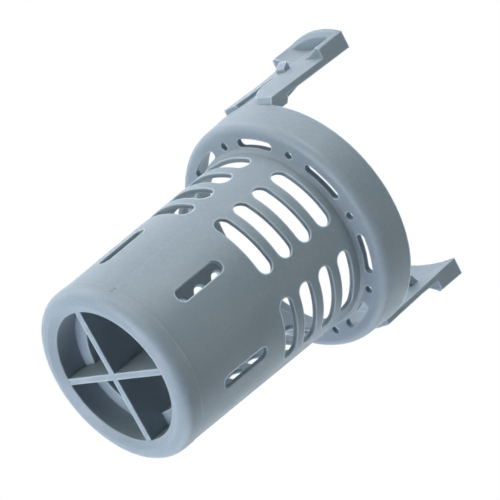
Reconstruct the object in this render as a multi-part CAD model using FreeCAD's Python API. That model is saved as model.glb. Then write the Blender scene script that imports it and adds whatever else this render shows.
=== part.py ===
import FreeCAD, Part
import math
import os

# Central filter of a dishwasher: one moulding, a slotted tapered tube with a cross at its narrow
# end, a cup-shaped collar at its wide end and two grip lugs. It stands on its narrow end, +Z up,
# and the lugs lie along +X and -X. All sizes are in millimetres and degrees.

# Tube
foot_radius = 28.0
tube_draft = 0.0324
tube_wall = 1.6
tube_height = 78.4

# Foot: rolled lip, recess up to a shoulder, throat through the shoulder
lip_rounding = 3.6
lip_flat = 0.6
mouth_slope = 1.2
lip_thickness = 2.2
band_height = 6.2
band_proud = 0.2
recess_radius = 21.5
recess_depth = 9.0
shoulder_thickness = 1.8
throat_radius = 17.1
throat_height = 19.0
throat_wall = 1.6

# Cross of two ribs inside the foot
rib_width = 2.0
rib_height = 15.8

# Slots round the tube, in columns that repeat round the axis
column_count = 6
slot_span = 42.6
slot_height = 5.5
slot_pitch = 8.8
slot_clear_of_collar = 3.9
port_low = 15.9
port_length = 18.6
port_width = 4.4
port_to_slot = 8.1
column_turn = 0.0

# Collar: floor and wall
collar_height = 11.9
rim_radius = 40.0
collar_draft = 0.07
collar_wall = 2.0
floor_thickness = 2.0
collar_rounding = 3.0
collar_fillet = 1.0
inlet_bevel = 1.0

# Drain openings in the collar's floor: holes and curved slots by turns
drain_count = 8
drain_radius = 33.2
drain_turn = -5.7
drain_hole_diameter = 2.6
drain_slot_span = 23.4
drain_slot_width = 2.9

# Lugs: slightly bowed walls that stand on the rim
lug_width = 22.8
lug_height = 39.4
lug_wall = 2.25
lug_bow_radius = 62.0
lug_inset = 0.65
lug_foot_slope = 1.1
root_height = 6.8
root_slope_height = 0.5
root_wall = 2.8
root_bevel_width = 1.2
root_bevel_depth = 1.8

# Grip at the head of a lug: bowed pad with a scoop under a lip
grip_height = 12.2
grip_tilt = 1.2
grip_crest = 5.1
grip_bow_radius = 26.8
grip_draft = 0.03
grip_lip = 3.0
lip_bevel = 1.4
scoop_radius = 18.6
scoop_sink = 0.15

# Slit in a lug, its flared mouth and the strip beside it, which ends above the rim
strip_width = 6.2
strip_step = 0.4
strip_clearance = 1.4
slit_width = 3.8
slit_height = 19.4
mouth_flare = 7.4
mouth_flare_height = 10.8
mouth_bend_width = 3.0
mouth_bend_height = 5.1

# Catch on a lug's outer face
catch_width = 3.8
catch_height = 2.8
catch_heel = 1.2
catch_reach = 2.6
catch_low = 20.0
catch_side = -0.95

# Stop on a lug's inner face: thin fin that hangs inward and gets taller towards its tip
stop_width = 1.9
stop_side = -2.65
stop_reach = 5.45
stop_lean = 1.25
stop_low = 27.0
stop_height = 1.6
stop_tip_low = 19.2
stop_tip_height = 6.9

rim_height = tube_height + collar_height
lug_top = rim_height + lug_height
lug_inner = rim_radius - lug_inset
lug_outer = lug_inner + lug_wall
grip_outer = lug_outer + grip_crest
half_lug = lug_width / 2
strip_side = strip_width - half_lug
pad_side = strip_side + slit_width


def tube_radius_at(height):
    return foot_radius + tube_draft * height


def collar_radius_at(height):
    return rim_radius - collar_draft * (rim_height - height)


def rounded_outline(corners):
    """Closed wire in the XZ plane through (x, z, corner radius) points, with tangent arcs."""
    starts = []
    arcs = []
    ends = []
    count = len(corners)
    for index, (x, z, radius) in enumerate(corners):
        here = FreeCAD.Vector(x, 0, z)
        before = FreeCAD.Vector(corners[index - 1][0], 0, corners[index - 1][1])
        after = FreeCAD.Vector(corners[(index + 1) % count][0], 0, corners[(index + 1) % count][1])
        if radius == 0:
            starts.append(here)
            ends.append(here)
            arcs.append(None)
            continue
        back = (before - here).normalize()
        on = (after - here).normalize()
        half_angle = back.getAngle(on) / 2
        start = here + back * (radius / math.tan(half_angle))
        end = here + on * (radius / math.tan(half_angle))
        bisector = (back + on).normalize()
        middle = here + bisector * (radius / math.sin(half_angle) - radius)
        starts.append(start)
        ends.append(end)
        arcs.append(Part.Arc(start, middle, end).toShape())
    edges = []
    for index in range(count):
        if arcs[index] is not None:
            edges.append(arcs[index])
        edges.append(Part.LineSegment(ends[index], starts[(index + 1) % count]).toShape())
    return Part.Wire(edges)


def turned(corners):
    """Solid of revolution about Z from an outline in the XZ plane."""
    face = Part.Face(rounded_outline(corners))
    return face.revolve(FreeCAD.Vector(0, 0, 0), FreeCAD.Vector(0, 0, 1), 360)


def slice_of(shape, low_side, high_side):
    """The part of a shape on the +X side between two values of Y."""
    box = Part.makeBox(2 * grip_outer, high_side - low_side, 2 * lug_top,
                       FreeCAD.Vector(0, low_side, 0))
    return shape.common(box)


def bowed(corners, bow_radius, face):
    """Solid whose outline at Y = 0 is given, bent about an upright axis bow_radius behind face."""
    shift = face - bow_radius
    shape = turned([(x - shift, z, radius) for x, z, radius in corners])
    shape.translate(FreeCAD.Vector(shift, 0, 0))
    return shape


def stadium_prism(centre_height, width, height, start, end):
    """Round-ended bar along +X: its section is width across Y and height along Z."""
    radius = min(width, height) / 2
    side = width / 2 - radius
    rise = height / 2 - radius
    middle = Part.makeBox(end - start, 2 * side + (2 * radius if rise > 0 else 0),
                          2 * rise + (2 * radius if rise == 0 else 0),
                          FreeCAD.Vector(start, -side - (radius if rise > 0 else 0),
                                         centre_height - rise - (radius if rise == 0 else 0)))
    caps = []
    for sign in (-1, 1):
        base = FreeCAD.Vector(start, sign * side, centre_height + sign * rise)
        caps.append(Part.makeCylinder(radius, end - start, base, FreeCAD.Vector(1, 0, 0)))
    return middle.multiFuse(caps).removeSplitter()


def body_section():
    """Corners of the section that makes tube, foot and collar, going up the outside."""
    sleeve_radius = recess_radius + throat_wall
    shoulder_top = recess_depth + shoulder_thickness
    lip_corner = tube_radius_at(0) + band_proud
    floor_top = tube_height + floor_thickness
    collar_inner = collar_radius_at(floor_top) - collar_wall
    inlet = tube_radius_at(floor_top) - tube_wall
    outside = [
        (recess_radius, mouth_slope, 0),
        (lip_corner - lip_rounding - lip_flat, 0, 0),
        (lip_corner, 0, lip_rounding),
        (tube_radius_at(band_height) + band_proud, band_height, 0),
        (tube_radius_at(band_height), band_height + band_proud, 0),
        (tube_radius_at(tube_height - collar_fillet), tube_height - collar_fillet, 0),
        (tube_radius_at(tube_height) + collar_fillet, tube_height, 0),
        (collar_radius_at(tube_height), tube_height, collar_rounding),
        (rim_radius, rim_height, 0),
    ]
    inside = [
        (rim_radius - collar_wall, rim_height, 0),
        (collar_inner, floor_top + collar_fillet, 0),
        (collar_inner - collar_fillet, floor_top, 0),
        (inlet + inlet_bevel, floor_top, 0),
        (inlet, floor_top - inlet_bevel, 0),
        (tube_radius_at(lip_thickness) - tube_wall, lip_thickness, 0),
        (sleeve_radius, lip_thickness, 0),
        (sleeve_radius, shoulder_top, 0),
        (throat_radius + throat_wall, shoulder_top, 0),
        (throat_radius + throat_wall, throat_height, 0),
        (throat_radius, throat_height, 0),
        (throat_radius, recess_depth, 0),
        (recess_radius, recess_depth, 0),
    ]
    return outside + inside


def cross_ribs():
    """Two crossed ribs that span the recess and the throat."""
    length = 2 * (recess_radius + throat_wall / 2)
    across = Part.makeBox(length, rib_width, recess_depth - mouth_slope,
                          FreeCAD.Vector(-length / 2, -rib_width / 2, mouth_slope))
    inner_length = 2 * (throat_radius + throat_wall / 2)
    deep = Part.makeBox(inner_length, rib_width, rib_height,
                        FreeCAD.Vector(-inner_length / 2, -rib_width / 2, mouth_slope))
    rib = across.fuse(deep)
    other = rib.copy()
    other.rotate(FreeCAD.Vector(0, 0, 0), FreeCAD.Vector(0, 0, 1), 90)
    return [rib, other]


def slot_heights():
    """Centre heights of the slots that fit between the port and the collar."""
    first = port_low + port_length + port_to_slot + slot_height / 2
    last = tube_height - slot_clear_of_collar - slot_height / 2
    count = int((last - first) / slot_pitch + 0.001) + 1
    return [first + slot_pitch * number for number in range(count)]


def wall_slots():
    """Cutters for all slots in the tube's wall."""
    start = recess_radius
    end = rim_radius
    column = [stadium_prism(port_low + port_length / 2, port_width, port_length, start, end)]
    for height in slot_heights():
        chord = 2 * tube_radius_at(height) * math.sin(math.radians(slot_span / 2))
        column.append(stadium_prism(height, chord, slot_height, start, end))
    cutters = []
    for number in range(column_count):
        for cutter in column:
            copy = cutter.copy()
            angle = column_turn + 360 / column_count * number
            copy.rotate(FreeCAD.Vector(0, 0, 0), FreeCAD.Vector(0, 0, 1), angle)
            cutters.append(copy)
    return cutters


def curved_slot(angle):
    """Cutter for one round-ended slot that follows a circle about the axis."""
    half_width = drain_slot_width / 2
    end_angle = drain_slot_span / 2 - math.degrees(half_width / drain_radius)
    low = tube_height - floor_thickness
    depth = 3 * floor_thickness
    inner = drain_radius - half_width
    outer = drain_radius + half_width
    section = Part.Face(Part.makePolygon([
        FreeCAD.Vector(inner, 0, low),
        FreeCAD.Vector(outer, 0, low),
        FreeCAD.Vector(outer, 0, low + depth),
        FreeCAD.Vector(inner, 0, low + depth),
        FreeCAD.Vector(inner, 0, low),
    ]))
    section.rotate(FreeCAD.Vector(0, 0, 0), FreeCAD.Vector(0, 0, 1), angle - end_angle)
    sweep = section.revolve(FreeCAD.Vector(0, 0, 0), FreeCAD.Vector(0, 0, 1), 2 * end_angle)
    ends = []
    for sign in (-1, 1):
        turn = math.radians(angle + sign * end_angle)
        base = FreeCAD.Vector(drain_radius * math.cos(turn), drain_radius * math.sin(turn), low)
        ends.append(Part.makeCylinder(half_width, depth, base))
    return sweep.multiFuse(ends)


def floor_drains():
    """Cutters for the holes and the curved slots in the collar's floor."""
    step = 360 / drain_count
    cutters = []
    for number in range(drain_count):
        angle = math.radians(drain_turn + step * number)
        base = FreeCAD.Vector(drain_radius * math.cos(angle), drain_radius * math.sin(angle),
                              tube_height - floor_thickness)
        cutters.append(Part.makeCylinder(drain_hole_diameter / 2, 3 * floor_thickness, base))
        cutters.append(curved_slot(drain_turn + step * (number + 0.5)))
    return cutters


def root():
    """The stretch of the collar's wall that rises above the rim behind a lug, bevelled at its ends."""
    seat = rim_height - collar_fillet
    top = rim_height + root_height
    core = rim_radius - root_wall
    section = [
        (rim_radius - collar_wall, seat, 0),
        (collar_radius_at(seat), seat, 0),
        (rim_radius, rim_height, 0),
        (rim_radius, top + root_slope_height, 0),
        (core, top, 0),
        (core, rim_height, 0),
    ]
    wall = slice_of(turned(section), -half_lug, half_lug)
    corner = math.sqrt(core ** 2 - half_lug ** 2)
    bevels = []
    for side in (-1, 1):
        outline = Part.makePolygon([
            FreeCAD.Vector(corner + root_bevel_depth, side * half_lug, rim_height),
            FreeCAD.Vector(corner - root_bevel_depth, side * (half_lug - 2 * root_bevel_width),
                           rim_height),
            FreeCAD.Vector(corner - root_bevel_depth, side * lug_width, rim_height),
            FreeCAD.Vector(corner + root_bevel_depth, side * lug_width, rim_height),
            FreeCAD.Vector(corner + root_bevel_depth, side * half_lug, rim_height),
        ])
        bevels.append(Part.Face(outline).extrude(FreeCAD.Vector(0, 0, 2 * root_height)))
    return wall.cut(bevels)


def plate():
    """Upright wall of a lug, with a sloped underside where it overhangs the rim."""
    section = [
        (lug_inner, rim_height, 0),
        (rim_radius, rim_height, 0),
        (lug_outer, rim_height + lug_foot_slope, 0),
        (lug_outer, lug_top, 0),
        (lug_inner, lug_top, 0),
    ]
    return slice_of(bowed(section, lug_bow_radius, lug_inner), -half_lug, half_lug)


def slit_cutter():
    """Cutter for the slit between strip and pad and for its flared mouth."""
    low = rim_height - root_height
    flare_top = rim_height + mouth_flare_height
    top = rim_height + slit_height
    wide = pad_side + mouth_flare
    bend = FreeCAD.Vector(0, pad_side + mouth_bend_width, rim_height + mouth_bend_height)
    curve = Part.Arc(FreeCAD.Vector(0, wide, rim_height), bend,
                     FreeCAD.Vector(0, pad_side, flare_top)).toShape()
    outline = Part.makePolygon([
        FreeCAD.Vector(0, pad_side, flare_top),
        FreeCAD.Vector(0, pad_side, top),
        FreeCAD.Vector(0, strip_side, top),
        FreeCAD.Vector(0, strip_side, low),
        FreeCAD.Vector(0, wide, low),
        FreeCAD.Vector(0, wide, rim_height),
    ])
    face = Part.Face(Part.Wire(outline.Edges + [curve]))
    prism = face.extrude(FreeCAD.Vector(2 * grip_outer, 0, 0))
    return prism.cut(Part.makeCylinder(rim_radius, 2 * lug_top))


def grip_foot_cutter():
    """Wedge that slopes the grip's underside, up towards the strip's side."""
    low = lug_top - grip_height
    outline = Part.makePolygon([
        FreeCAD.Vector(0, half_lug, low),
        FreeCAD.Vector(0, -half_lug, low + grip_tilt),
        FreeCAD.Vector(0, -half_lug, low),
        FreeCAD.Vector(0, half_lug, low),
    ])
    return Part.Face(outline).extrude(FreeCAD.Vector(2 * grip_outer, 0, 0))


def grip():
    """Head of a lug: bowed pad, hollowed from below by a round scoop that leaves a lip on top."""
    low = lug_top - grip_height
    centre = grip_outer - grip_bow_radius
    block = Part.makeCone(grip_bow_radius - grip_draft * grip_height, grip_bow_radius, grip_height,
                          FreeCAD.Vector(centre, 0, low))
    behind = bowed([(0, low, 0), (lug_inner, low, 0), (lug_inner, lug_top, 0), (0, lug_top, 0)],
                   lug_bow_radius, lug_inner)
    block = slice_of(block, -half_lug, half_lug).cut([behind, grip_foot_cutter()])
    under = lug_top - grip_lip
    axis = FreeCAD.Vector(lug_outer - scoop_sink + scoop_radius, 0, low)
    scoop = Part.makeCylinder(scoop_radius, under - low, axis)
    wedge = [(grip_outer - lip_bevel, under, 0), (2 * grip_outer, under, 0),
             (2 * grip_outer, under + lip_bevel, 0), (grip_outer, under + lip_bevel, 0)]
    bevel = bowed(wedge, grip_bow_radius, grip_outer)
    bevel = bevel.common(Part.makeCylinder(scoop_radius, grip_height, axis))
    return block.cut([scoop, bevel])


def strip_recess():
    """Cutter that sets the strip's outer face back from the pad's and ends it above the rim."""
    high = lug_top - grip_height + grip_tilt
    face = lug_outer - strip_step
    foot = rim_height + strip_clearance
    section = [
        (0, rim_height, 0),
        (grip_outer, rim_height, 0),
        (grip_outer, high, 0),
        (lug_outer, high, 0),
        (face, rim_height + slit_height, 0),
        (face, foot, 0),
        (0, foot, 0),
    ]
    shell = bowed(section, lug_bow_radius, lug_inner)
    shell = slice_of(shell, -lug_width, pad_side)
    return shell.cut(Part.makeCylinder(rim_radius, lug_top))


def fin(corners, width, side):
    """Upright fin across a lug: outline of (x, z) points, width along Y and centred at side."""
    points = [FreeCAD.Vector(x, side - width / 2, z) for x, z in corners + corners[:1]]
    return Part.Face(Part.makePolygon(points)).extrude(FreeCAD.Vector(0, width, 0))


def catch():
    """Catch on the outer face: square on top, its outer side sloping in towards its heel."""
    low = rim_height + catch_low
    corners = [
        (lug_inner, low),
        (lug_outer + catch_heel, low),
        (lug_outer + catch_reach, low + catch_height),
        (lug_inner, low + catch_height),
    ]
    return fin(corners, catch_width, catch_side)


def stop():
    """Fin on the inner face that hangs inward and gets taller towards its tip."""
    core = lug_inner + lug_wall / 2
    low = rim_height + stop_low
    tip_low = rim_height + stop_tip_low
    corners = [
        (core, low),
        (core, low + stop_height),
        (lug_inner - stop_reach + stop_lean, tip_low + stop_tip_height),
        (lug_inner - stop_reach, tip_low),
    ]
    return fin(corners, stop_width, stop_side)


def lug():
    """One lug on the +X side."""
    wall = plate().cut([slit_cutter(), strip_recess()])
    return wall.multiFuse([root(), grip(), catch(), stop()])


def build_filter():
    """The whole moulding as one solid."""
    body = turned(body_section())
    body = body.multiFuse(cross_ribs())
    body = body.cut(wall_slots() + floor_drains())
    lugs = []
    for angle in (0, 180):
        copy = lug()
        copy.rotate(FreeCAD.Vector(0, 0, 0), FreeCAD.Vector(0, 0, 1), angle)
        lugs.append(copy)
    return body.multiFuse(lugs).removeSplitter()


os.makedirs("parts", exist_ok=True)
solid = build_filter().Solids[0]
solid.exportStep("parts/filter_body.step")
print("volume mm3", round(solid.Volume, 1), "valid", solid.isValid(), "faces", len(solid.Faces))
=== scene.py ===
import math

import bpy
from mathutils import Matrix, Vector


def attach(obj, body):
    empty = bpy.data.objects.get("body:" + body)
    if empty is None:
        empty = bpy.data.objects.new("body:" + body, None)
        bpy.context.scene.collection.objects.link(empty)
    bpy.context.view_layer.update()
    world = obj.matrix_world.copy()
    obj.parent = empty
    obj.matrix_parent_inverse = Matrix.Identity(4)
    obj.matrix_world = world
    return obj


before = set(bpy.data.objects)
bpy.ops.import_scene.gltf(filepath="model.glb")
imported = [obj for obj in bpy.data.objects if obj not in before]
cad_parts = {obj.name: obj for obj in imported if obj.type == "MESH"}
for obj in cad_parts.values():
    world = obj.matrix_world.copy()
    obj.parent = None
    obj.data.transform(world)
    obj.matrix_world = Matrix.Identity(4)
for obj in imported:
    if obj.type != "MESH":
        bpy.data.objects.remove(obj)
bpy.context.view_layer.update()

# The camera's own axes, to the picture's right, up, and back towards the viewer, its place and lens
VIEW_RIGHT = Vector((-0.452243, 0.643468, 0.617596))
VIEW_UP = Vector((0.855373, 0.116790, 0.504675))
VIEW_BACK = Vector((0.252613, 0.756511, -0.603223))
CAMERA_PLACE = Vector((0.151559, 0.443165, -0.287377))
LENS_LENGTH = 140.3
SENSOR_WIDTH = 36.0

# The point that the lamps aim at, and the lamps' and floor's sizes
MIDDLE = Vector((0, 0, 0.065))
LAMP_WIDTH = 0.7
FLOOR_HALF = 6.0

# Mould lines and witness marks, midway between the six columns of slots
COLUMNS = 6
COLUMN_ANGLE = 60
FIRST_ANGLE = 30
LINE_HALF_SHARE = 0.0075
LINE_START = (0.0060, 0.0064)
LINE_FADE = (0.0220, 0.0500)

# A witness mark's place on the foot's band, and its size
BAND_RADIUS = 0.0284
MARK_LOW = 0.0050
MARK_HALF_WIDTH = 0.0007
MARK_HEIGHT = 0.0018
MARK_LEAN = 0.0002
MARK_RISE = 0.00014
MARK_SINK = 0.0001

# The plastic's colours, with a pale colour painted on the outer edges as a highlight and on the mould
# lines, and how far the painted edge highlight, the rounded edges and the fine relief go
CLOUD_DARK = (0.214, 0.262, 0.299, 1)
CLOUD_PALE = (0.231, 0.281, 0.319, 1)
FLECK_COLOUR = (0.262, 0.316, 0.356, 1)
EDGE_HIGHLIGHT_AND_LINE_COLOUR = (0.42, 0.50, 0.55, 1)
EDGE_HIGHLIGHT_REACH = 0.0006
EDGE_ROUNDING = 0.0007
GRAIN_DEPTH = 0.000012
WAVE_DEPTH = 0.00008
LINE_DEPTH = 0.00005


# Shader helpers

def new_material(name):
    mat = bpy.data.materials.new(name)
    mat.use_nodes = True
    tree = mat.node_tree
    tree.nodes.clear()
    out = tree.nodes.new("ShaderNodeOutputMaterial")
    return mat, tree, out


def node(tree, kind, **settings):
    made = tree.nodes.new(kind)
    for key, value in settings.items():
        setattr(made, key, value)
    return made


def link(tree, source, target):
    tree.links.new(source, target)


def math_node(tree, operation, first, second=None, third=None):
    made = node(tree, "ShaderNodeMath", operation=operation)
    for index, value in enumerate((first, second, third)):
        if value is None:
            continue
        if isinstance(value, (int, float)):
            made.inputs[index].default_value = value
        else:
            link(tree, value, made.inputs[index])
    return made.outputs[0]


def map_range(tree, value, low, high, to_low, to_high):
    made = node(tree, "ShaderNodeMapRange", interpolation_type="SMOOTHSTEP")
    link(tree, value, made.inputs["Value"])
    made.inputs["From Min"].default_value = low
    made.inputs["From Max"].default_value = high
    made.inputs["To Min"].default_value = to_low
    made.inputs["To Max"].default_value = to_high
    return made.outputs["Result"]


def noise(tree, vector, scale, detail, roughness=0.5):
    made = node(tree, "ShaderNodeTexNoise")
    made.inputs["Scale"].default_value = scale
    made.inputs["Detail"].default_value = detail
    made.inputs["Roughness"].default_value = roughness
    link(tree, vector, made.inputs["Vector"])
    return made.outputs["Fac"]


def mix_colour(tree, factor, first, second):
    made = node(tree, "ShaderNodeMix", data_type="RGBA")
    link(tree, factor, made.inputs[0])
    for socket, value in ((made.inputs[6], first), (made.inputs[7], second)):
        if isinstance(value, tuple):
            socket.default_value = value
        else:
            link(tree, value, socket)
    return made.outputs[2]


def mix_shaders(tree, factor, first, second, out):
    made = node(tree, "ShaderNodeMixShader")
    link(tree, factor, made.inputs[0])
    link(tree, first, made.inputs[1])
    link(tree, second, made.inputs[2])
    link(tree, made.outputs[0], out.inputs["Surface"])


def outer_edges(tree, reach):
    """Mask of the outer edges: 0 on open faces and in inner corners, towards 1 on an edge."""
    inside = node(tree, "ShaderNodeAmbientOcclusion", inside=True, only_local=True, samples=6)
    inside.inputs["Distance"].default_value = reach
    return map_range(tree, inside.outputs["AO"], 0.55, 0.95, 1.0, 0.0)


def mould_lines(tree, where):
    """Mask of six fine lines up the tube from its foot, midway between the columns of slots."""
    split = node(tree, "ShaderNodeSeparateXYZ")
    link(tree, where, split.inputs[0])
    angle = math_node(tree, "ARCTAN2", split.outputs["Y"], split.outputs["X"])
    turn = math_node(tree, "DIVIDE", angle, math.radians(COLUMN_ANGLE))
    part = math_node(tree, "ABSOLUTE", math_node(tree, "SUBTRACT", math_node(tree, "FRACT", turn), 0.5))
    line = map_range(tree, part, 0.0, LINE_HALF_SHARE, 1.0, 0.0)
    low = map_range(tree, split.outputs["Z"], *LINE_START, 0.0, 1.0)
    high = map_range(tree, split.outputs["Z"], *LINE_FADE, 1.0, 0.0)
    return math_node(tree, "MULTIPLY", line, math_node(tree, "MULTIPLY", low, high))


def moulded_plastic(name, depth):
    """Satin light grey-blue plastic: fine mould grain, faint clouding, a painted highlight along the
    outer edges, and mould lines.
    """
    mat, tree, out = new_material(name)
    shader = node(tree, "ShaderNodeBsdfPrincipled")
    link(tree, shader.outputs[0], out.inputs["Surface"])
    where = node(tree, "ShaderNodeTexCoord").outputs["Object"]
    ridge = mould_lines(tree, where)
    # Mask of the outer edges, which carries the painted edge highlight and the duller roughness there
    edge_highlight_mask = outer_edges(tree, EDGE_HIGHLIGHT_REACH)

    # Colour: clouding from the melt, fine flecks, a painted highlight that makes the outer edges paler,
    # and paler mould lines
    cloud = noise(tree, where, 28.0, 3.0)
    fleck = noise(tree, where, 900.0, 4.0, 0.6)
    base = mix_colour(tree, map_range(tree, cloud, 0.35, 0.65, 0.0, 1.0), CLOUD_DARK, CLOUD_PALE)
    base = mix_colour(tree, map_range(tree, fleck, 0.40, 0.70, 0.0, 0.40), base, FLECK_COLOUR)
    # Painted highlight: outer edges mixed towards the pale colour, mould lines a little paler
    pale = math_node(tree, "MAXIMUM", math_node(tree, "MULTIPLY", edge_highlight_mask, 0.60),
                     math_node(tree, "MULTIPLY", ridge, 0.18))
    base = mix_colour(tree, pale, base, EDGE_HIGHLIGHT_AND_LINE_COLOUR)
    link(tree, base, shader.inputs["Base Color"])

    # Roughness: satin, a little duller along the outer edges
    rough = map_range(tree, noise(tree, where, 160.0, 5.0), 0.30, 0.70, 0.42, 0.52)
    rough = math_node(tree, "ADD", rough, math_node(tree, "MULTIPLY", edge_highlight_mask, 0.08))
    link(tree, rough, shader.inputs["Roughness"])

    # Body: soft light inside the wall, with a reach of about two millimetres; depth is its share
    shader.inputs["IOR"].default_value = 1.49
    shader.inputs["Subsurface Weight"].default_value = depth
    shader.inputs["Subsurface Radius"].default_value = (0.0016, 0.0019, 0.0021)
    shader.inputs["Subsurface Scale"].default_value = 1.0

    # Surface: mould grain, slow waviness from shrinking, mould lines, rounded edges
    grain = noise(tree, where, 2600.0, 3.0, 0.55)
    wave = noise(tree, where, 60.0, 2.0)
    height = math_node(tree, "MULTIPLY", grain, GRAIN_DEPTH)
    height = math_node(tree, "MULTIPLY_ADD", wave, WAVE_DEPTH, height)
    height = math_node(tree, "MULTIPLY_ADD", ridge, LINE_DEPTH, height)
    rounded = node(tree, "ShaderNodeBevel", samples=8)
    rounded.inputs["Radius"].default_value = EDGE_ROUNDING
    bump = node(tree, "ShaderNodeBump")
    bump.inputs["Strength"].default_value = 1.0
    bump.inputs["Distance"].default_value = 1.0
    link(tree, height, bump.inputs["Height"])
    link(tree, rounded.outputs[0], bump.inputs["Normal"])
    link(tree, bump.outputs[0], shader.inputs["Normal"])
    return mat


def floor_material():
    """Pale floor that glows evenly, so it stays pale far from the lamps; clear when seen from below."""
    mat, tree, out = new_material("pale_floor")
    shader = node(tree, "ShaderNodeBsdfPrincipled")
    shader.inputs["Roughness"].default_value = 0.6
    where = node(tree, "ShaderNodeTexCoord").outputs["Object"]
    tone = noise(tree, where, 9.0, 3.0)
    colour = mix_colour(tree, tone, (0.36, 0.35, 0.34, 1), (0.38, 0.37, 0.36, 1))
    link(tree, colour, shader.inputs["Base Color"])
    shader.inputs["Emission Color"].default_value = (1, 1, 1, 1)
    shader.inputs["Emission Strength"].default_value = 0.60
    clear = node(tree, "ShaderNodeBsdfTransparent")
    side = node(tree, "ShaderNodeNewGeometry").outputs["Backfacing"]
    mix_shaders(tree, side, shader.outputs[0], clear.outputs[0], out)
    return mat


# The moulding and its marks

def dress_moulding(plastic):
    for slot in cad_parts["filter_body"].material_slots:
        slot.material = plastic


def witness_mark(degrees, plastic):
    """Small wedge left by the mould where a mould line meets the foot's band."""
    points = [(-MARK_HALF_WIDTH, MARK_LOW, 0), (MARK_HALF_WIDTH, MARK_LOW, 0),
              (0, MARK_LOW + MARK_HEIGHT, 0), (0, MARK_LOW - MARK_LEAN, MARK_RISE)]
    spin = Matrix.Rotation(math.radians(degrees), 4, "Z")
    verts = []
    for across, height, out in points:
        verts.append(tuple(spin @ Vector((BAND_RADIUS - MARK_SINK + out, across, height))))
    mesh = bpy.data.meshes.new("witness_mark")
    mesh.from_pydata(verts, [], [(0, 2, 1), (0, 1, 3), (1, 2, 3), (2, 0, 3)])
    mark = bpy.data.objects.new("witness_mark_%d" % degrees, mesh)
    bpy.context.scene.collection.objects.link(mark)
    mesh.materials.append(plastic)
    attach(mark, "root")


# Studio

def add_floor():
    """Floor under the foot, which throws neither light nor shadow on the object."""
    half = FLOOR_HALF
    mesh = bpy.data.meshes.new("floor")
    mesh.from_pydata([(-half, -half, 0), (half, -half, 0), (half, half, 0), (-half, half, 0)], [],
                     [(0, 1, 2, 3)])
    mesh.materials.append(floor_material())
    floor = bpy.data.objects.new("floor", mesh)
    bpy.context.scene.collection.objects.link(floor)
    floor.visible_diffuse = False
    floor.visible_glossy = False
    floor.visible_transmission = False
    floor.visible_shadow = False


def around_view(angle, forward):
    """Direction in the picture's plane, 0 to the right and 90 up, leaning forward to the viewer."""
    turn = math.radians(angle)
    return (VIEW_RIGHT * math.cos(turn) + VIEW_UP * math.sin(turn) + VIEW_BACK * forward).normalized()


def add_light(name, direction, power, colour):
    """Soft round studio light, one metre from the object's middle and aimed at it."""
    data = bpy.data.lights.new(name, "AREA")
    data.shape = "DISK"
    data.size = LAMP_WIDTH
    data.energy = power
    data.color = colour
    lamp = bpy.data.objects.new(name, data)
    lamp.location = MIDDLE + direction
    lamp.rotation_euler = (-direction).to_track_quat("-Z", "Y").to_euler()
    lamp.visible_camera = False
    bpy.context.scene.collection.objects.link(lamp)


def add_lights():
    add_light("upper_left", around_view(135, 0.0), 4.8, (1.01, 0.97, 1.02))
    add_light("top", around_view(90, 0.0), 1.8, (0.86, 0.96, 1.18))
    add_light("bottom", around_view(275, -0.1), 4.2, (0.99, 1.02, 0.98))
    add_light("front_right", around_view(0, 0.6), 2.3, (0.98, 1.04, 0.98))
    add_light("front_top", around_view(90, 0.6), 6.4, (1.00, 1.02, 0.98))
    add_light("front_left", around_view(180, 0.6), 2.9, (1.08, 1.08, 0.84))
    add_light("below", Vector((0, 0, -1)), 10.2, (0.91, 0.96, 1.13))


def add_world():
    """White backdrop for the camera; for the light a bright room behind the object, dark in front."""
    world = bpy.data.worlds.new("studio")
    bpy.context.scene.world = world
    world.use_nodes = True
    tree = world.node_tree
    tree.nodes.clear()
    out = node(tree, "ShaderNodeOutputWorld")
    seen = node(tree, "ShaderNodeBackground")
    seen.inputs["Color"].default_value = (1, 1, 1, 1)
    seen.inputs["Strength"].default_value = 1.0
    facing = node(tree, "ShaderNodeVectorMath", operation="DOT_PRODUCT")
    link(tree, node(tree, "ShaderNodeTexCoord").outputs["Generated"], facing.inputs[0])
    facing.inputs[1].default_value = VIEW_BACK
    lit = node(tree, "ShaderNodeBackground")
    lit.inputs["Color"].default_value = (0.93, 1.00, 1.09, 1)
    link(tree, map_range(tree, facing.outputs["Value"], -0.5, 0.1, 1.20, 0.0), lit.inputs["Strength"])
    path = node(tree, "ShaderNodeLightPath")
    mix_shaders(tree, path.outputs["Is Camera Ray"], lit.outputs[0], seen.outputs[0], out)


def add_camera():
    data = bpy.data.cameras.new("camera")
    data.sensor_width = SENSOR_WIDTH
    data.lens = LENS_LENGTH
    data.clip_start = 0.01
    data.clip_end = 50.0
    camera = bpy.data.objects.new("camera", data)
    pose = Matrix.Identity(4)
    for column, axis in enumerate((VIEW_RIGHT, VIEW_UP, VIEW_BACK, CAMERA_PLACE)):
        for row in range(3):
            pose[row][column] = axis[row]
    camera.matrix_world = pose
    bpy.context.scene.collection.objects.link(camera)
    bpy.context.scene.camera = camera


# The marks take the same plastic, without the soft light inside it
dress_moulding(moulded_plastic("moulded_plastic", 0.80))
mark_plastic = moulded_plastic("mark_plastic", 0.0)
for number in range(COLUMNS):
    witness_mark(FIRST_ANGLE + COLUMN_ANGLE * number, mark_plastic)

add_floor()
add_world()
add_camera()
add_lights()

bpy.context.scene.view_settings.view_transform = "Standard"
